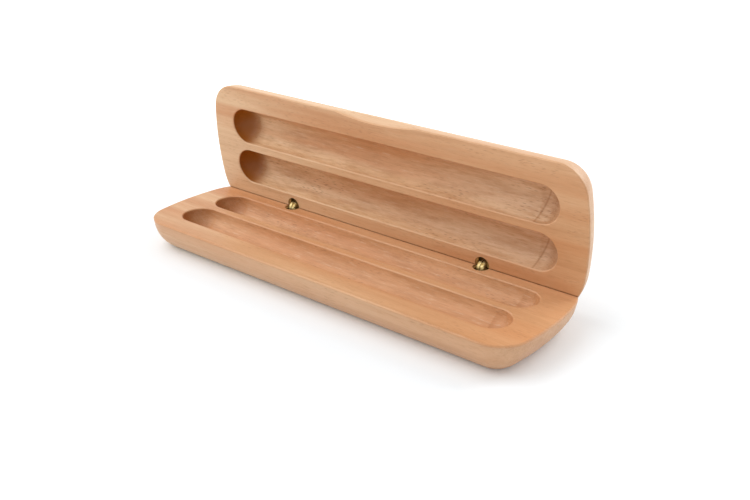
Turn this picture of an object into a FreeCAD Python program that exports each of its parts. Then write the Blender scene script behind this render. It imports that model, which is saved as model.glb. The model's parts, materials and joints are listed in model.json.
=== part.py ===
import FreeCAD, Part
import math
import os

# Wooden case for two pens, shown open. Millimetres, +X along the case, -Y to the front, +Z up.
# The origin is the middle of the base's underside. Each half is drawn as it lies when the
# case is shut, and the lid is then swung open about the hinge line.

# Case
LENGTH = 172.0              # longest extent, across the bowed ends
FACE_WIDTH = 47.1           # hinge line to front edge, on the mating face
BACK_WIDTH = 5.0            # hinge line to back edge, below the bevel
THICK = 12.4                # one half, underside to mating face
OPEN_ANGLE = 83.0           # lid angle at which the two back bevels meet
BEVEL_EASE = 0.25           # degrees taken off each bevel, so that the lid settles freely
BEVEL_FLAT = 0.06           # blunt edge left along the hinge line
SEAM_NICK = 0.2             # step taken off that edge, which leaves a fine seam when open

# Plan outline, all arcs tangent
END_BOW = 105.0             # radius of the bowed ends
BOW_CENTRE = 19.9           # widest point, from the hinge line
FRONT_CORNER = 11.9
BACK_CORNER = 19.8
BACK_TANGENT = 6.2          # where the bow gives way to the back corner, from the hinge line

# Hull-shaped sides: a lean at the rim, then a wide round to the flat underside
SIDE_LEAN = 8.5
SIDE_ROUND = 13.8
SIDE_FOOT = 61.0            # turn of the side where it meets the underside
RIM_EASE = 0.4              # slope taken off the rim of the mating face

# Pen grooves
GROOVE_CENTRES = (12.8, 30.7)   # from the hinge line
GROOVE_WIDTH = 14.6
GROOVE_DEPTH = 6.6
GROOVE_LENGTH = 149.6
END_PLUNGE = 0.45           # the round ends go this much deeper than the trough
LIP_EASE = 0.3              # slope taken off the groove's lip

# Thumb scoop in the lid's front edge
SCOOP_WIDTH = 42.0
SCOOP_DEPTH = 2.1
SCOOP_RISE = 7.5            # height up the lid's front at which the scoop runs out

# Barrel hinges
HINGE_SPACING = 90.8
BARREL_RADIUS = 3.0
BARREL_FORWARD = 0.8        # barrel axis in front of the hinge line
BARREL_HOLE = 7.2           # depth of the drilled hole
BARREL_SINK = 0.4           # barrel end below the mating face
SLOT_WIDTH = 3.4
SLOT_DEPTH = 4.7
PIN_DROP = 2.3              # pin below the mating face
PIN_FORWARD = PIN_DROP * math.tan(math.radians(OPEN_ANGLE / 4))
PIN_RADIUS = 0.55
PIN_LENGTH = 5.6
PIN_PLAY = 0.05             # running clearance of a link on its pin
LINK_THICK = 1.55
LINK_GAP = 0.1              # between the two links of a hinge
LINK_FRONT = 2.25           # link edges and ends, from the line between its pins
LINK_SHOULDER = 1.35
LINK_BACK = 1.2
LINK_END = 1.5

V = FreeCAD.Vector
UP = V(0, 0, 1)
ALONG = V(1, 0, 0)
HINGE_Y = (FACE_WIDTH - BACK_WIDTH) / 2
HINGE_LINE = V(0, HINGE_Y, THICK)
SPARE = 1.0                 # by which a cutter overruns a face


def side_profile(place, reach):
    """Upright section of a half, from its root out to the eased rim and the rounded side.

    place turns a distance from the root and a height into a point.
    """
    lean = math.radians(SIDE_LEAN)
    foot = math.radians(SIDE_FOOT)
    round_top = SIDE_ROUND * (math.sin(foot) - math.sin(lean))
    rim_inset = (THICK - round_top) * math.tan(lean)

    def on_round(turn):
        inset = rim_inset + SIDE_ROUND * (math.cos(lean) - math.cos(turn))
        return place(reach - inset, SIDE_ROUND * (math.sin(foot) - math.sin(turn)))

    rim_low = place(reach - RIM_EASE * math.tan(lean), THICK - RIM_EASE)
    rim_high = place(reach - RIM_EASE, THICK)
    edges = [
        Part.makeLine(place(0, 0), on_round(foot)),
        Part.Arc(on_round(foot), on_round((foot + lean) / 2), on_round(lean)).toShape(),
        Part.makeLine(on_round(lean), rim_low),
        Part.makeLine(rim_low, rim_high),
        Part.makeLine(rim_high, place(0, THICK)),
        Part.makeLine(place(0, THICK), place(0, 0)),
    ]
    return Part.Face(Part.Wire(edges))


def turned_side(centre, radius, start, stop):
    """Side along one arc of the outline, turned about the arc's upright axis."""
    out = V(math.cos(start), math.sin(start), 0)
    face = side_profile(lambda far, z: centre + out * far + UP * z, radius)
    return face.revolve(centre, UP, math.degrees(stop - start))


def straight_side(root_y, reach, towards, half):
    """Side along a straight edge, drawn along the case; towards is -1 for front, 1 for back."""
    face = side_profile(lambda far, z: V(-half, root_y + towards * far, z), reach)
    return face.extrude(ALONG * 2 * half)


def hull():
    """Blank of the base half: bowed ends, round corners and sides that draw in."""
    bow_c = V(LENGTH / 2 - END_BOW, HINGE_Y - BOW_CENTRE, 0)
    back_turn = math.asin((BOW_CENTRE - BACK_TANGENT) / END_BOW)
    back_c = bow_c + V(math.cos(back_turn), math.sin(back_turn), 0) * (END_BOW - BACK_CORNER)
    front_y = HINGE_Y - FACE_WIDTH + FRONT_CORNER
    front_turn = math.asin((front_y - bow_c.y) / (END_BOW - FRONT_CORNER))
    front_c = bow_c + V(math.cos(front_turn), math.sin(front_turn), 0) * (END_BOW - FRONT_CORNER)
    deep_back = V(back_c.x, HINGE_Y + BACK_WIDTH + SPARE, 0)

    right = [
        turned_side(front_c, FRONT_CORNER, -math.pi / 2, front_turn),
        turned_side(bow_c, END_BOW, front_turn, back_turn),
        turned_side(back_c, BACK_CORNER, back_turn, math.pi / 2),
    ]
    left = [side.mirror(V(0, 0, 0), ALONG) for side in right]
    corners = [front_c, back_c, deep_back]
    corners += [V(-corner.x, corner.y, 0) for corner in reversed(corners)]
    core = Part.Face(Part.makePolygon(corners + corners[:1])).extrude(UP * THICK)
    front = straight_side(front_y, FRONT_CORNER, -1, front_c.x)
    back = straight_side(HINGE_Y - FACE_WIDTH, FACE_WIDTH + BACK_WIDTH, 1, LENGTH)

    return core.multiFuse(right + left + [front]).common(back).removeSplitter()


def bevel_cutter(drop):
    """Wedge behind the hinge line, above the base's back bevel lowered by drop."""
    slope = math.radians(OPEN_ANGLE / 2 + BEVEL_EASE)
    reach = BACK_WIDTH + SPARE
    edge_z = THICK - drop
    corners = [
        V(-LENGTH, HINGE_Y, THICK + SPARE),
        V(-LENGTH, HINGE_Y, edge_z),
        V(-LENGTH, HINGE_Y + reach, edge_z - reach * math.tan(slope)),
        V(-LENGTH, HINGE_Y + reach, THICK + SPARE),
    ]
    return Part.Face(Part.makePolygon(corners + corners[:1])).extrude(ALONG * 2 * LENGTH)


def seam_cutter():
    """Bar along the hinge line that takes the sharp edge off the mating face."""
    corner = HINGE_LINE - V(LENGTH, SEAM_NICK, SEAM_NICK)
    return Part.makeBox(2 * LENGTH, 2 * SEAM_NICK, SEAM_NICK + SPARE, corner)


def round_cut(depth):
    """Radius of a round cut of the groove's width at the given depth."""
    half = GROOVE_WIDTH / 2
    return (half ** 2 + depth ** 2) / (2 * depth)


def groove_cutter(from_hinge):
    """Round-bottomed trough with a slightly deeper ball end at each side."""
    middle = V(0, HINGE_Y - from_hinge, THICK)
    straight = (GROOVE_LENGTH - GROOVE_WIDTH) / 2
    trough = round_cut(GROOVE_DEPTH)
    axis = middle + UP * (trough - GROOVE_DEPTH)
    cutter = Part.makeCylinder(trough, 2 * straight, axis - ALONG * straight, ALONG)
    plunge = GROOVE_DEPTH + END_PLUNGE
    ball = round_cut(plunge)
    for side in (-1, 1):
        centre = middle + ALONG * side * straight + UP * (ball - plunge)
        cutter = cutter.fuse(Part.makeSphere(ball, centre))
    return cutter


def lip_cutter(from_hinge):
    """Sloping ease round a groove's mouth: a cone at each end and a wedge between."""
    middle = V(0, HINGE_Y - from_hinge, THICK)
    along = ALONG * (GROOVE_LENGTH - GROOVE_WIDTH) / 2
    narrow = GROOVE_WIDTH / 2 - LIP_EASE
    wide = GROOVE_WIDTH / 2 + LIP_EASE + SPARE
    low = -2 * LIP_EASE
    corners = [V(0, -narrow, low), V(0, narrow, low), V(0, wide, SPARE), V(0, -wide, SPARE)]
    corners = [middle - along + corner for corner in corners]
    cutter = Part.Face(Part.makePolygon(corners + corners[:1])).extrude(along * 2)
    for end in (-along, along):
        cone = Part.makeCone(narrow, wide, SPARE - low, middle + end + UP * low, UP)
        cutter = cutter.fuse(cone)
    return cutter


def hinge_axis(side):
    """Point where a barrel's axis meets the mating face."""
    return V(side * HINGE_SPACING / 2, HINGE_Y - BARREL_FORWARD, THICK)


def hinge_hole(side):
    """Drilled hole that a barrel is pressed into."""
    foot = hinge_axis(side) - UP * BARREL_HOLE
    return Part.makeCylinder(BARREL_RADIUS, BARREL_HOLE + SPARE, foot, UP)


def scoop_cutter():
    """Leaning cylinder that hollows the lid's front edge for a thumb."""
    radius = ((SCOOP_WIDTH / 2) ** 2 + SCOOP_DEPTH ** 2) / (2 * SCOOP_DEPTH)
    lean = math.atan2(SCOOP_DEPTH, SCOOP_RISE)
    face_y = HINGE_Y - FACE_WIDTH + SCOOP_DEPTH - radius
    direction = V(0, -math.sin(lean), math.cos(lean))
    start = V(0, face_y, THICK) - direction * radius
    return Part.makeCylinder(radius * math.cos(lean), 2 * radius, start, direction)


def tray():
    """Half of the case with its back bevel, eased grooves and hinge holes."""
    body = hull().cut(bevel_cutter(BEVEL_FLAT)).cut(seam_cutter())
    for centre in GROOVE_CENTRES:
        body = body.cut(groove_cutter(centre)).cut(lip_cutter(centre))
    for side in (-1, 1):
        body = body.cut(hinge_hole(side))
    return body.removeSplitter()


def shut_lid(shape):
    """The shape turned over on to the base, as the lid lies when shut."""
    return shape.mirror(HINGE_LINE, UP)


def swung_open(shape):
    """The shape swung from the shut position to the open rest."""
    turned = shape.copy()
    turned.rotate(HINGE_LINE, ALONG, -OPEN_ANGLE)
    return turned


def base_tray():
    return tray()


def lid_tray():
    return swung_open(shut_lid(tray()).cut(scoop_cutter()))


def barrel(side):
    """Slotted hinge barrel of the base, bevelled behind the hinge line."""
    axis = hinge_axis(side)
    foot = axis - UP * BARREL_HOLE
    body = Part.makeCylinder(BARREL_RADIUS, BARREL_HOLE - BARREL_SINK, foot, UP)
    slot_corner = axis - V(SLOT_WIDTH / 2, BARREL_RADIUS + SPARE, SLOT_DEPTH)
    slot = Part.makeBox(SLOT_WIDTH, 2 * (BARREL_RADIUS + SPARE), SLOT_DEPTH + SPARE, slot_corner)
    return body.cut(slot).cut(bevel_cutter(BARREL_SINK)).cut(pin(side))


def pin(side):
    """Cross pin of a base barrel."""
    start = V(side * HINGE_SPACING / 2 - PIN_LENGTH / 2, HINGE_Y - PIN_FORWARD, THICK - PIN_DROP)
    return Part.makeCylinder(PIN_RADIUS, PIN_LENGTH, start, ALONG)


def link(side, leaf):
    """One of the two D-shaped plates of a hinge; leaf is -1 or 1."""
    middle = side * HINGE_SPACING / 2
    left = middle + (LINK_GAP / 2 if leaf > 0 else -LINK_GAP / 2 - LINK_THICK)

    def at(forward, rise):
        return V(left, HINGE_Y - PIN_FORWARD - forward, THICK + rise)

    top, foot = PIN_DROP, -PIN_DROP
    edges = [
        Part.makeLine(at(-LINK_BACK, foot), at(-LINK_BACK, top)),
        Part.Arc(at(-LINK_BACK, top), at(0, top + LINK_END), at(LINK_SHOULDER, top)).toShape(),
        Part.Arc(at(LINK_SHOULDER, top), at(LINK_FRONT, 0), at(LINK_SHOULDER, foot)).toShape(),
        Part.Arc(at(LINK_SHOULDER, foot), at(0, foot - LINK_END), at(-LINK_BACK, foot)).toShape(),
    ]
    plate = Part.Face(Part.Wire(edges)).extrude(ALONG * LINK_THICK)

    # the lid's pin runs in a short slot, as its distance grows in mid-swing
    hole = PIN_RADIUS + PIN_PLAY
    stretch = 2 * (math.hypot(PIN_DROP, PIN_FORWARD) - PIN_DROP)
    for rise in (foot, top, top + stretch):
        plate = plate.cut(Part.makeCylinder(hole, LINK_THICK, at(0, rise), ALONG))
    between = Part.makeBox(LINK_THICK, 2 * hole, stretch, at(hole, top))
    plate = plate.cut(between)
    plate.rotate(at(0, foot), ALONG, -OPEN_ANGLE / 2)
    return plate


def pieces():
    """Every piece of the open case by name."""
    made = {"base_tray": base_tray(), "lid_tray": lid_tray()}
    for name, side in (("left", -1), ("right", 1)):
        made[name + "_base_barrel"] = barrel(side)
        made[name + "_base_pin"] = pin(side)
        made[name + "_lid_barrel"] = swung_open(shut_lid(barrel(side)))
        made[name + "_lid_pin"] = swung_open(shut_lid(pin(side)))
        made[name + "_outer_link"] = link(side, side)
        made[name + "_inner_link"] = link(side, -side)
    return made


os.makedirs("parts", exist_ok=True)
for node, shape in pieces().items():
    shape.exportStep("parts/" + node + ".step")
    print(node, shape.ShapeType, len(shape.Solids), shape.isValid(), round(shape.Volume, 1), shape.BoundBox)
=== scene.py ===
import json
import math

import bmesh
import bpy
import numpy as np
from mathutils import Matrix, Vector


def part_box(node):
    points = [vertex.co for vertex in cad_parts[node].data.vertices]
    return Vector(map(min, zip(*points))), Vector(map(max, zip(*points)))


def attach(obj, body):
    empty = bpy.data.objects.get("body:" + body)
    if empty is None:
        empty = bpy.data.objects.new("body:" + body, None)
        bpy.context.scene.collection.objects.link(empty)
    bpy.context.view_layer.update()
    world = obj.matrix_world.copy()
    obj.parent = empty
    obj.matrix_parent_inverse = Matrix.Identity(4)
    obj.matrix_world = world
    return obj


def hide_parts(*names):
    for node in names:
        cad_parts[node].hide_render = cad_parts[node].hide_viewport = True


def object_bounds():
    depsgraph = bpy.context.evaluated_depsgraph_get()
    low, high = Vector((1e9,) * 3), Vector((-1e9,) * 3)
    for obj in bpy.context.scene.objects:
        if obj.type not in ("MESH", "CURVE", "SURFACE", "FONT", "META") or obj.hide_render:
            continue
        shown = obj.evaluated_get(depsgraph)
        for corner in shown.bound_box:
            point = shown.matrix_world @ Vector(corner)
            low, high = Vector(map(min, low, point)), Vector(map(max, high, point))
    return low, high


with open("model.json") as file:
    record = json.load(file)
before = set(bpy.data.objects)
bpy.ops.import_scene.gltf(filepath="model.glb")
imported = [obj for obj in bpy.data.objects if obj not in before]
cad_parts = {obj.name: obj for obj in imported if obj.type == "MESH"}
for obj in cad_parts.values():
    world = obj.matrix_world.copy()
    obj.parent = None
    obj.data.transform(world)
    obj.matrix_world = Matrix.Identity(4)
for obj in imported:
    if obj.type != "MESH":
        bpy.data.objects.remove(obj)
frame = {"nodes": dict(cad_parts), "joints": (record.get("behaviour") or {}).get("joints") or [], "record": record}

bl_info = {
    "name": "Wooden Pen Case",
    "version": (1, 0, 0),
    "blender": (4, 5, 0),
    "location": "View3D > Sidebar > Pen Case",
    "description": "Finishes a hinged wooden pen case with lacquered maple and brass, on a white sweep",
    "category": "Object",
}

CAD_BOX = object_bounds()
CASE_HALF = CAD_BOX[1][0]

# Joints and pieces
LID_HINGE = next(j for j in frame["joints"] if j["name"] == "lid_hinge")
LINK_SWING = next(j for j in frame["joints"] if j["name"] == "link_swing")
HINGE_LINE = Vector(LID_HINGE["pos_m"])
LINK_PIN = Vector(LINK_SWING["pos_m"])
OPEN_ANGLE = math.radians(83.0)         # from the shut lid to the open one
WOOD_NODES = ("base_tray", "lid_tray")
LINK_NODES = tuple(name for name in frame["nodes"] if name.endswith("_link"))
SEATED_NODES = tuple(name for name in frame["nodes"] if name not in WOOD_NODES + LINK_NODES)

# Pen grooves of a shut half, in metres
OPENINGS = frame["record"]["physics"]["openings"]
GROOVE_BOXES = [opening["box_m"] for opening in OPENINGS if opening["name"].startswith("base")]
GROOVE_MIDDLES = [(low[1] + high[1]) / 2 for low, high in GROOVE_BOXES]
GROOVE_HALF = 0.0073                    # half the width, and the radius of the round ends in plan
GROOVE_STRAIGHT = 0.0675                # from the middle of the case to where the round ends begin
GROOVE_FADE = 0.0004                    # soft edge of the groove masks in plan
GROOVE_TOP = (0.0001, 0.0006)           # depths between which the groove masks fade in
GROOVE_FLOOR = (0.0078, 0.009)          # depths between which they fade out
OUTSIDE_TOP = (0.0003, 0.0012)          # depths between which the mask of the outside fades in
LIT_END_SHARE = 0.4                     # share of the end grain colour, with its painted shade, in the round ends that face the light
# Painted crease shade: a slanting dark line where the lid's right round groove ends begin
CREASE_SLANT = 0.3                        # step along the groove for each step across it
CREASE_WIDTH = 0.0006
# Reach of the painted shade along the hinge line, where the halves meet
SEAM_REACH = 0.00015

# Planks, in metres: how far the grain of each half is slid, and the pith behind and below the case
BASE_SLIDE = 0.17
LID_SLIDE = 0.31
PITH_BACK = 0.02
PITH_DOWN = 0.06
PITH_SKEW = 0.04
RING_WAVER = 0.012

# Hinge plates, in metres: how far ahead of the base pin the front begins, and the reach of the split
PLATE_FRONT = 0.001
SPLIT_REACH = 0.0004
MERGE_REACH = 1e-7
PLATE_FLAT = math.radians(0.5)
PLATE_SHARP = math.radians(40.0)
PLATE_SEGMENTS = 6

# Floor, in metres from the middle: it shows evenly white beyond the lamps' reach, and the brightness painted on
# from NEAR_FLOOR outwards also lightens the case's shadow to its right
FLOOR_HALF = 4.0
NEAR_FLOOR = 0.07
FAR_FLOOR = 0.4
FLOOR_COLOUR = (0.85, 0.885, 0.91, 1)

# Soft boxes, in metres: place and edge
KEY_PLACE, KEY_EDGE = Vector((-0.47, -0.28, 0.72)), 1.0
RIM_PLACE, RIM_EDGE = Vector((0.3, 0.62, 0.45)), 0.5


def linear(red, green, blue):
    """Linear colour of a display colour given in 0 to 255."""
    channels = np.array([red, green, blue]) / 255.0
    low = channels / 12.92
    high = ((channels + 0.055) / 1.055) ** 2.4
    return tuple(np.where(channels <= 0.04045, low, high))


# Properties

class PenCaseWood(bpy.types.PropertyGroup):
    """Colours and gloss of the lacquered maple."""

    pale: bpy.props.FloatVectorProperty(
        name="Pale wood", description="Early wood between the growth lines",
        subtype="COLOR", size=3, min=0, max=1, default=linear(228, 188, 146))
    warm: bpy.props.FloatVectorProperty(
        name="Warm wood", description="Broad warm bands along the plank",
        subtype="COLOR", size=3, min=0, max=1, default=linear(207, 147, 100))
    line: bpy.props.FloatVectorProperty(
        name="Growth line", description="Thin late wood lines",
        subtype="COLOR", size=3, min=0, max=1, default=linear(178, 124, 78))
    # Also painted sheen on the outer sides and painted highlight on the lid's groove floors to their right
    ash_and_sheen: bpy.props.FloatVectorProperty(
        name="Ash", description="Greyish sheen of raised fibres",
        subtype="COLOR", size=3, min=0, max=1, default=linear(226, 198, 168))
    fleck: bpy.props.FloatVectorProperty(
        name="Fleck", description="Short pores and ray flecks along the grain",
        subtype="COLOR", size=3, min=0, max=1, default=linear(132, 82, 48))
    # Also painted shade: it fills the left groove ends, which face away from the light, and only partly the right
    # ones
    end_grain_and_shade: bpy.props.FloatVectorProperty(
        name="End grain", description="Darker wood where the round groove ends cut the grain",
        subtype="COLOR", size=3, min=0, max=1, default=linear(148, 83, 14))
    # Painted shade in the fine step along the hinge line, where the halves meet
    seam: bpy.props.FloatVectorProperty(
        name="Seam", description="Bare wood in the fine step along the hinge line",
        subtype="COLOR", size=3, min=0, max=1, default=linear(158, 98, 58))
    ring_gap: bpy.props.FloatProperty(
        name="Ring gap", description="Distance between growth lines",
        unit="LENGTH", min=0.0005, default=0.0062)
    base_warmth: bpy.props.FloatProperty(
        name="Base warmth", description="Share of warm wood in the base's paler bands",
        subtype="FACTOR", min=0, max=1, default=0.3)
    # Painted sheen: paler towards the left end, as if it caught a reflection, and warmer to the right
    sheen_fade_warmth: bpy.props.FloatProperty(
        name="End warmth", description="Warm wood gained from the left end to the right end",
        subtype="FACTOR", min=0, max=1, default=0.8)
    # Shares of the end grain colour, which also paints the shade in the groove ends
    base_end_shade: bpy.props.FloatProperty(
        name="Base end shade", description="Share of end grain in the base's groove ends",
        subtype="FACTOR", min=0, max=1, default=0.5)
    lid_end_shade: bpy.props.FloatProperty(
        name="Lid end shade", description="Share of end grain in the lid's groove ends",
        subtype="FACTOR", min=0, max=1, default=1.0)
    # Painted highlight: the lid's groove floors grow paler towards their right ends, where light falls
    lid_ash_and_highlight: bpy.props.FloatProperty(
        name="Lid ash", description="Ash gained along the lid's grooves to their right ends",
        subtype="FACTOR", min=0, max=1, default=0.4)
    # Painted shade of the crease where the lid's right round groove ends begin
    lid_crease_shade: bpy.props.FloatProperty(
        name="Lid tool mark", description="Darkness of the tool mark in the lid's right groove ends",
        subtype="FACTOR", min=0, max=1, default=0.4)
    gloss: bpy.props.FloatProperty(
        name="Roughness", description="Roughness of the satin lacquer",
        subtype="FACTOR", min=0, max=1, default=0.5)


class PenCaseBrass(bpy.types.PropertyGroup):
    """Colours and gloss of the hinges."""

    bright: bpy.props.FloatVectorProperty(
        name="Bright brass", description="Rubbed brass",
        subtype="COLOR", size=3, min=0, max=1, default=linear(190, 170, 120))
    dull: bpy.props.FloatVectorProperty(
        name="Dull brass", description="Tarnished brass",
        subtype="COLOR", size=3, min=0, max=1, default=linear(146, 116, 62))
    plate_round: bpy.props.FloatProperty(
        name="Plate rounding", description="Radius of the hinge plates' outer edges",
        unit="LENGTH", min=0, default=0.00065)
    split_round: bpy.props.FloatProperty(
        name="Split rounding", description="Radius of the edges where a hinge's two plates meet",
        unit="LENGTH", min=0, default=0.00016)


class PenCaseStage(bpy.types.PropertyGroup):
    """Camera, lamps and floor."""

    focal_length: bpy.props.FloatProperty(
        name="Focal length", description="Camera lens on a 36 mm wide sensor",
        subtype="DISTANCE_CAMERA", default=43.856)
    azimuth: bpy.props.FloatProperty(
        name="Azimuth", description="Camera turn from the front, to the right",
        subtype="ANGLE", default=math.radians(37.48))
    elevation: bpy.props.FloatProperty(
        name="Elevation", description="Camera height above the horizon",
        subtype="ANGLE", default=math.radians(24.183))
    roll: bpy.props.FloatProperty(
        name="Roll", description="Camera roll", subtype="ANGLE", default=math.radians(0.95))
    distance: bpy.props.FloatProperty(
        name="Distance", description="Camera to the middle of the hinge line",
        unit="LENGTH", default=0.35162)
    offset: bpy.props.FloatVectorProperty(
        name="Offset", description="Camera shift to its right and upwards",
        unit="LENGTH", size=2, default=(-0.002349, -0.006053))
    sky: bpy.props.FloatProperty(
        name="Sky", description="Strength of the even surrounding light", min=0, default=0.62)
    floor_lift: bpy.props.FloatProperty(
        name="Floor lift", description="Brightness added to the floor where it shows",
        min=0, default=0.08)
    far_lift: bpy.props.FloatProperty(
        name="Far lift", description="Brightness added to the far floor, beyond the lamps",
        min=0, default=0.6)
    key: bpy.props.FloatProperty(
        name="Key", description="Power of the large soft box", unit="POWER", min=0, default=6.0)
    rim: bpy.props.FloatProperty(
        name="Rim", description="Power of the soft box behind", unit="POWER", min=0, default=3.0)


# Shader maths

class Sock:
    """A shader socket that adds Math nodes when it is used in an expression."""

    def __init__(self, tree, socket):
        self.tree = tree
        self.socket = socket

    @staticmethod
    def node(tree, kind, settings=None, **inputs):
        """Adds a node, with its settings and its inputs by name, or by place as i0, i1 and so on."""
        made = tree.nodes.new(kind)
        for key, value in (settings or {}).items():
            setattr(made, key, value)
        for key, value in inputs.items():
            is_place = key[0] == "i" and key[1:].isdigit()
            socket = made.inputs[int(key[1:]) if is_place else key.replace("_", " ")]
            if isinstance(value, Sock):
                tree.links.new(value.socket, socket)
            else:
                socket.default_value = value
        return made

    def new(self, kind, settings=None, out=0, **inputs):
        """A node in this socket's tree, as the socket named or numbered out."""
        return Sock(self.tree, Sock.node(self.tree, kind, settings, **inputs).outputs[out])

    def math(self, operation, other=0.0, swap=False):
        """A Math node on this and another value, in that order unless swapped."""
        first, second = (other, self) if swap else (self, other)
        return self.new("ShaderNodeMath", {"operation": operation}, i0=first, i1=second)

    def vector_math(self, operation, other=(0, 0, 0), out="Vector"):
        """A Vector Math node on this and another vector, in that order."""
        return self.new("ShaderNodeVectorMath", {"operation": operation}, out=out, i0=self, i1=other)

    def parts(self):
        """The three parts of a vector."""
        outputs = Sock.node(self.tree, "ShaderNodeSeparateXYZ", Vector=self).outputs
        return [Sock(self.tree, output) for output in outputs]

    def feed(self, shader, name):
        """Links this to an input of a shader."""
        self.tree.links.new(self.socket, shader.inputs[name])

    def __add__(self, other):
        return self.math("ADD", other)

    __radd__ = __add__

    def __sub__(self, other):
        return self.math("SUBTRACT", other)

    def __rsub__(self, other):
        return self.math("SUBTRACT", other, swap=True)

    def __mul__(self, other):
        return self.math("MULTIPLY", other)

    __rmul__ = __mul__

    def __truediv__(self, other):
        return self.math("DIVIDE", other)

    def __pow__(self, other):
        return self.math("POWER", other)

    def between(self, low, high):
        """0 below low, 1 above high, smooth between."""
        return self.new("ShaderNodeMapRange", {"interpolation_type": "SMOOTHSTEP"},
                        Value=self, From_Min=low, From_Max=high)

    def tint(self, base, top):
        """Colour base where this is 0 and top where it is 1."""
        low, high = (c if isinstance(c, Sock) else (*c, 1.0) for c in (base, top))
        return self.new("ShaderNodeMix", {"data_type": "RGBA"}, out=2, i0=self, i6=low, i7=high)


def seen_directly(tree):
    """1 for what the camera sees, also in a mirror or through glass, and 0 for light on things."""
    path = Sock.node(tree, "ShaderNodeLightPath").outputs
    seen = Sock(tree, path["Is Camera Ray"])
    for kind in ("Is Glossy Ray", "Is Transmission Ray"):
        seen = seen.math("MAXIMUM", Sock(tree, path[kind]))
    return seen


def object_place(tree):
    """The shaded point in its object's own axes."""
    return Sock(tree, Sock.node(tree, "ShaderNodeTexCoord").outputs["Object"])


def fresh_material(name):
    """An empty node material and its Principled shader."""
    material = bpy.data.materials.new(name)
    material.use_nodes = True
    tree = material.node_tree
    shader = tree.nodes["Principled BSDF"]
    return material, tree, shader


def groove_masks(settled):
    """Masks of a shut half: grooves, end grain with painted shade, paler fibres with painted highlight, a painted
    crease shade and the outside.

    A point is in a groove when it lies near the groove's middle line in plan, between the mating
    face and the depth of the floor. End grain with painted shade fills the left round ends, which
    face away from the light, and is fainter in the right ones, which face it. Paler fibres with a
    painted highlight, where light falls on the groove floors, grow from the middle of the case to the
    right. The painted crease shade is a slanting dark line across each groove where its right round
    end begins.
    """
    along, across, height = settled.parts()
    past_end = (along.math("ABSOLUTE") - GROOVE_STRAIGHT).math("MAXIMUM", 0.0)
    depth = (height - HINGE_LINE.z).math("ABSOLUTE")
    offsets = [across - middle for middle in GROOVE_MIDDLES]
    apart = [(past_end * past_end + offset * offset).math("SQRT") for offset in offsets]
    in_plan = 1 - apart[0].math("MINIMUM", apart[1]).between(GROOVE_HALF, GROOVE_HALF + GROOVE_FADE)
    carved = depth.between(*GROOVE_TOP) * in_plan * (1 - depth.between(*GROOVE_FLOOR))

    # Painted shade: the left round ends face away from the light and take the full end grain colour
    shaded_left_end = (0 - along).between(GROOVE_STRAIGHT - GROOVE_HALF, GROOVE_STRAIGHT + GROOVE_HALF / 2)
    round_end = past_end.between(0.0, GROOVE_HALF / 2)
    end_grain_and_shade = carved * shaded_left_end.math("MAXIMUM", round_end * LIT_END_SHARE)
    # Paler towards the right: fibres, and partly a painted highlight where light falls on the groove floors
    raised_and_lit = carved * along.between(0.0, GROOVE_STRAIGHT)

    nearer = apart[0].math("LESS_THAN", apart[1])
    offset = nearer * offsets[0] + (1 - nearer) * offsets[1]
    # Painted shade of a crease: a thin slanting dark line where the right round ends begin
    before_crease = GROOVE_STRAIGHT - offset * CREASE_SLANT - along
    mark = carved * (1 - before_crease.math("ABSOLUTE").between(0.0, CREASE_WIDTH))
    outside = depth.between(*OUTSIDE_TOP) * (1 - carved)
    return carved, end_grain_and_shade, raised_and_lit, mark, outside


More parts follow.
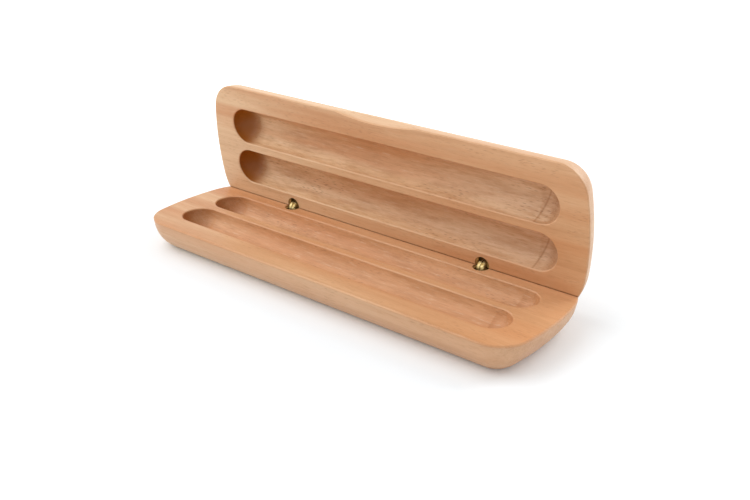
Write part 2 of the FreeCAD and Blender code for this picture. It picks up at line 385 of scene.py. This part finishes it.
def wood_material(name, look, turn, slide, warmth, end_shade, ash_and_sheen, crease_darkness):
    """Maple with faint growth lines round a distant pith, fibres, flecks and a thin satin lacquer.

    turn swings the half shut about the hinge line, so that both halves share one set of plank axes,
    and slide moves the pattern along the plank. warmth is the share of warm wood in the paler bands,
    end_shade that of end grain and painted shade in the round groove ends, ash_and_sheen that of paler
    fibres and painted highlight at the grooves' right, and crease_darkness the darkness of the painted
    crease shade there.
    """
    material, tree, shader = fresh_material(name)
    place = object_place(tree)
    home = HINGE_LINE - Matrix.Rotation(turn, 3, "X") @ HINGE_LINE
    settled = place.new("ShaderNodeMapping", Vector=place, Location=home, Rotation=(turn, 0, 0))
    plank = place.new("ShaderNodeMapping", Vector=settled, Location=(slide, 0, 0))

    def grain(along, across):
        """Plank axes scaled to the given number of steps to a metre along and across the grain."""
        return plank.new("ShaderNodeMapping", Vector=plank, Scale=(along, across, across))

    def noise(along, across, detail=2.0, rough=0.5):
        """Cloudy pattern with the given number of clouds to a metre along and across the grain."""
        return plank.new("ShaderNodeTexNoise", Vector=grain(along, across), Scale=1.0,
                         Detail=detail, Roughness=rough)

    along, across, height = plank.parts()
    side = across + PITH_BACK + along * PITH_SKEW
    waver = (noise(7.0, 40.0, 3.0) - 0.5) * RING_WAVER
    radius = (side * side + (height + PITH_DOWN) ** 2).math("SQRT") + waver
    ring = (radius / look.ring_gap).math("FRACT")
    late = ring.between(0.3, 0.93) * (1 - ring.between(0.93, 1.0))

    carved, end_grain_and_shade, raised_and_lit, mark, outside = groove_masks(settled)
    bands = noise(6.0, 90.0, 3.0).between(0.32, 0.68)
    streaks = noise(14.0, 420.0, 4.0, 0.6).between(0.42, 0.72)
    fibre = noise(150.0, 1700.0, 5.0, 0.75)
    dark_fibre = fibre.between(0.5, 0.72)
    pale_fibre = 1 - fibre.between(0.28, 0.46)
    mottle = noise(55.0, 300.0, 4.0, 0.7).between(0.4, 0.66)
    pores = plank.new("ShaderNodeTexVoronoi", {"feature": "F1"}, Vector=grain(290.0, 1700.0), Scale=1.0)
    fleck = (1 - pores.between(0.1, 0.34)) * noise(25.0, 150.0).between(0.4, 0.65)
    from_seam = (settled.vector_math("SUBTRACT", HINGE_LINE).vector_math("MULTIPLY", (0, 1, 1))
                 .vector_math("LENGTH", out="Value"))

    # Painted sheen: paler towards the left end, as if it caught a reflection, and warmer to the right
    sheen_fade = along.between(slide - CASE_HALF, slide + CASE_HALF) - 0.5
    share = warmth + sheen_fade * look.sheen_fade_warmth
    colour = (bands * (1 - share) + share).tint(look.pale, look.warm)
    layers = (
        # Greyish fibres, also painted sheen on the outer sides and painted highlight on the lid's groove floors to
        # their right
        (outside * 0.3 + raised_and_lit * ash_and_sheen, look.ash_and_sheen),
        (late * 0.13, look.line),
        (streaks * 0.2, look.line),
        (carved * mottle * 0.45, look.line),
        (pale_fibre * (0.22 + carved * 0.32), look.ash_and_sheen),
        (dark_fibre * (0.4 + carved * 0.24), look.line),
        (fleck * (0.27 + carved * 0.32), look.fleck),
        # End grain, with painted shade in the left groove ends
        (end_grain_and_shade * end_shade, look.end_grain_and_shade),
        # Painted crease shade
        (mark * crease_darkness, look.end_grain_and_shade),
        # Painted shade along the hinge line, where the halves meet
        (1 - from_seam.between(SEAM_REACH, 2 * SEAM_REACH), look.seam),
    )
    for cover, shade in layers:
        colour = cover.tint(colour, shade)
    colour.feed(shader, "Base Color")

    (look.gloss + (fibre - 0.5) * 0.14 + fleck * 0.1).feed(shader, "Roughness")
    relief = plank.new("ShaderNodeBump", Strength=0.15, Distance=0.0004, Height=fibre - fleck * 0.6)
    relief.feed(shader, "Normal")
    (0.14 - carved * 0.1).feed(shader, "Coat Weight")
    shader.inputs["Coat Roughness"].default_value = 0.22
    shader.inputs["Specular IOR Level"].default_value = 0.35
    return material


def brass_material(name, look):
    """Stamped brass, bright where rubbed and dull in patches, with fine drawn lines."""
    material, tree, shader = fresh_material(name)
    place = object_place(tree)
    patches = place.new("ShaderNodeTexNoise", Vector=place, Scale=900.0, Detail=4.0)
    drawn = place.new("ShaderNodeMapping", Vector=place, Scale=(9000.0, 900.0, 900.0))
    lines = place.new("ShaderNodeTexNoise", Vector=drawn, Scale=1.0, Detail=2.0)
    dull = patches.between(0.42, 0.68)
    dull.tint(look.bright, look.dull).feed(shader, "Base Color")
    (dull * 0.12 + lines * 0.12 + 0.36).feed(shader, "Roughness")
    place.new("ShaderNodeBump", Strength=0.1, Distance=0.00003, Height=lines).feed(shader, "Normal")
    shader.inputs["Metallic"].default_value = 1.0
    return material


def dress(name, material):
    """Gives a CAD piece one material in place of its own."""
    slots = frame["nodes"][name].data.materials
    slots.clear()
    slots.append(material)


def rounded_plate(name, material, radius, split_radius):
    """A hinge plate like the CAD one, merged, with its front edges rounded.

    The front edges are the sharp ones that lie ahead of the base pin, along the middle of the angle
    between the open halves. Those next to the hinge's other plate have the smaller split_radius.
    """
    mesh = frame["nodes"][name].data.copy()
    mesh.name = name.replace("link", "plate")
    mesh.materials.clear()
    mesh.materials.append(material)
    shape = bmesh.new()
    shape.from_mesh(mesh)
    bmesh.ops.remove_doubles(shape, verts=shape.verts, dist=MERGE_REACH)
    bmesh.ops.dissolve_limit(shape, angle_limit=PLATE_FLAT, verts=shape.verts, edges=shape.edges)
    shape.to_mesh(mesh)
    shape.free()
    mesh.attributes.remove(mesh.attributes["custom_normal"])

    points = np.empty((len(mesh.vertices), 3), np.float32)
    mesh.vertices.foreach_get("co", points.ravel())
    ends = np.empty((len(mesh.edges), 2), np.int32)
    mesh.edges.foreach_get("vertices", ends.ravel())
    forward = np.array([0, -math.cos(OPEN_ANGLE / 2), math.sin(OPEN_ANGLE / 2)])
    ahead = ((points - np.array(LINK_PIN)) @ forward)[ends].min(axis=1)
    mesh.set_sharp_from_angle(angle=PLATE_SHARP)
    sharp = np.empty(len(mesh.edges), bool)
    mesh.attributes["sharp_edge"].data.foreach_get("value", sharp)
    front = (ahead > PLATE_FRONT) & sharp
    mesh.attributes["sharp_edge"].data.foreach_set("value", sharp & ~front)
    pair = [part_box(node) for node in LINK_NODES if node.split("_")[0] == name.split("_")[0]]
    middle = np.mean([corner[0] for box in pair for corner in box])
    split = np.abs(points[:, 0] - middle)[ends].max(axis=1) < SPLIT_REACH
    share = front * np.where(split, split_radius / radius, 1.0)
    weights = mesh.attributes.new("bevel_weight_edge", "FLOAT", "EDGE")
    weights.data.foreach_set("value", share.astype(np.float32))

    plate = bpy.data.objects.new(mesh.name, mesh)
    bpy.context.scene.collection.objects.link(plate)
    rounding = plate.modifiers.new("rounded_front", "BEVEL")
    rounding.limit_method = "WEIGHT"
    rounding.width = radius
    rounding.segments = PLATE_SEGMENTS
    rounding.use_clamp_overlap = False
    rounding.harden_normals = True
    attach(plate, "hinge_links")
    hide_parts(name)


# Operators

class PENCASE_OT_trays(bpy.types.Operator):
    """Finish both carved halves in lacquered maple"""

    bl_idname = "pencase.trays"
    bl_label = "Wooden Halves"

    def execute(self, context):
        look = context.scene.pencase_wood
        dress("base_tray", wood_material(
            "maple_base", look, turn=0.0, slide=BASE_SLIDE, warmth=look.base_warmth,
            end_shade=look.base_end_shade, ash_and_sheen=0.0, crease_darkness=0.0))
        dress("lid_tray", wood_material(
            "maple_lid", look, turn=OPEN_ANGLE, slide=LID_SLIDE, warmth=0.0,
            end_shade=look.lid_end_shade, ash_and_sheen=look.lid_ash_and_highlight, crease_darkness=look.lid_crease_shade))
        return {"FINISHED"}


class PENCASE_OT_hinges(bpy.types.Operator):
    """Finish the hinge barrels, links and pins in brass"""

    bl_idname = "pencase.hinges"
    bl_label = "Barrel Hinges"

    def execute(self, context):
        look = context.scene.pencase_brass
        brass = brass_material("hinge_brass", look)
        for name in SEATED_NODES:
            dress(name, brass)
        for name in LINK_NODES:
            rounded_plate(name, brass, look.plate_round, look.split_round)
        return {"FINISHED"}


class PENCASE_OT_stage(bpy.types.Operator):
    """Set up the white floor, soft light and camera"""

    bl_idname = "pencase.stage"
    bl_label = "Stage"

    def execute(self, context):
        setup = context.scene.pencase_stage
        self.floor(setup.floor_lift, setup.far_lift)
        self.light(context.scene, setup)
        self.camera(context.scene, setup)
        context.scene.view_settings.view_transform = "Standard"
        return {"FINISHED"}

    def floor(self, lift, far_lift):
        """A wide level square at the height of the underside, brightened where it shows.

        The brightness added is lift near the case, and rises by far_lift with the distance from it, which also
        paints the case's shadow to its right lighter.
        """
        mesh = bpy.data.meshes.new("floor")
        corners = FLOOR_HALF * np.array([(-1, -1, 0), (1, -1, 0), (1, 1, 0), (-1, 1, 0)])
        mesh.from_pydata(corners, [], [(0, 1, 2, 3)])
        floor = bpy.data.objects.new("floor", mesh)
        bpy.context.scene.collection.objects.link(floor)
        material, tree, shader = fresh_material("white_floor")
        shader.inputs["Base Color"].default_value = FLOOR_COLOUR
        shader.inputs["Roughness"].default_value = 0.9
        shader.inputs["Specular IOR Level"].default_value = 0.2
        away = object_place(tree).vector_math("LENGTH", out="Value")
        shown = seen_directly(tree) * (away.between(NEAR_FLOOR, FAR_FLOOR) * far_lift + lift)
        shown.feed(shader, "Emission Color")
        shader.inputs["Emission Strength"].default_value = 1.0
        mesh.materials.append(material)

    def light(self, scene, setup):
        """Even white surroundings, a soft box above and to the left, and one behind for the rim."""
        world = bpy.data.worlds.new("white_sweep")
        world.use_nodes = True
        tree = world.node_tree
        back = tree.nodes["Background"]
        back.inputs["Color"].default_value = (1, 1, 1, 1)
        (seen_directly(tree) * (1 - setup.sky) + setup.sky).feed(back, "Strength")
        scene.world = world

        self.soft_box(scene, "key_box", setup.key, KEY_EDGE, KEY_PLACE)
        self.soft_box(scene, "rim_box", setup.rim, RIM_EDGE, RIM_PLACE)

    def soft_box(self, scene, name, power, edge, place):
        """A square lamp that faces the middle of the hinge line."""
        lamp = bpy.data.lights.new(name, "AREA")
        lamp.size = edge
        lamp.energy = power
        box = bpy.data.objects.new(name, lamp)
        box.location = place
        box.rotation_mode = "QUATERNION"
        box.rotation_quaternion = (HINGE_LINE - place).to_track_quat("-Z", "Y")
        scene.collection.objects.link(box)

    def camera(self, scene, setup):
        """Camera on a sphere about the hinge line, slid sideways, then rolled."""
        turn, rise = setup.azimuth, setup.elevation
        level = math.cos(rise)
        back = Vector((math.sin(turn) * level, -math.cos(turn) * level, math.sin(rise)))
        right = Vector((math.cos(turn), math.sin(turn), 0))
        up = back.cross(right)
        tilt = Matrix((right, up, back)).transposed() @ Matrix.Rotation(setup.roll, 3, "Z")
        lens = bpy.data.cameras.new("camera")
        lens.sensor_width = 36.0
        lens.lens = setup.focal_length
        lens.clip_start = 0.01
        camera = bpy.data.objects.new("camera", lens)
        slide = tilt @ Vector((setup.offset[0], setup.offset[1], 0))
        place = HINGE_LINE + back * setup.distance + slide
        camera.matrix_world = Matrix.Translation(place) @ tilt.to_4x4()
        scene.collection.objects.link(camera)
        scene.camera = camera


class PENCASE_PT_panel(bpy.types.Panel):
    """The pen case's looks and the steps that make it"""

    bl_label = "Pen Case"
    bl_idname = "PENCASE_PT_panel"
    bl_space_type = "VIEW_3D"
    bl_region_type = "UI"
    bl_category = "Pen Case"

    def draw(self, context):
        layout = self.layout
        for name in GROUPS:
            group = getattr(context.scene, name)
            box = layout.box()
            for key in group.__annotations__:
                box.prop(group, key)
        for operator in OPERATORS:
            layout.operator(operator.bl_idname)


GROUPS = {"pencase_wood": PenCaseWood, "pencase_brass": PenCaseBrass, "pencase_stage": PenCaseStage}
OPERATORS = (PENCASE_OT_trays, PENCASE_OT_hinges, PENCASE_OT_stage)


def register():
    for name, group in GROUPS.items():
        bpy.utils.register_class(group)
        setattr(bpy.types.Scene, name, bpy.props.PointerProperty(type=group))
    for operator in OPERATORS:
        bpy.utils.register_class(operator)
    bpy.utils.register_class(PENCASE_PT_panel)


def unregister():
    bpy.utils.unregister_class(PENCASE_PT_panel)
    for operator in reversed(OPERATORS):
        bpy.utils.unregister_class(operator)
    for name, group in reversed(GROUPS.items()):
        delattr(bpy.types.Scene, name)
        bpy.utils.unregister_class(group)


def main():
    register()
    bpy.ops.pencase.trays()
    bpy.ops.pencase.hinges()
    bpy.ops.pencase.stage()


if __name__ == "__main__":
    main()
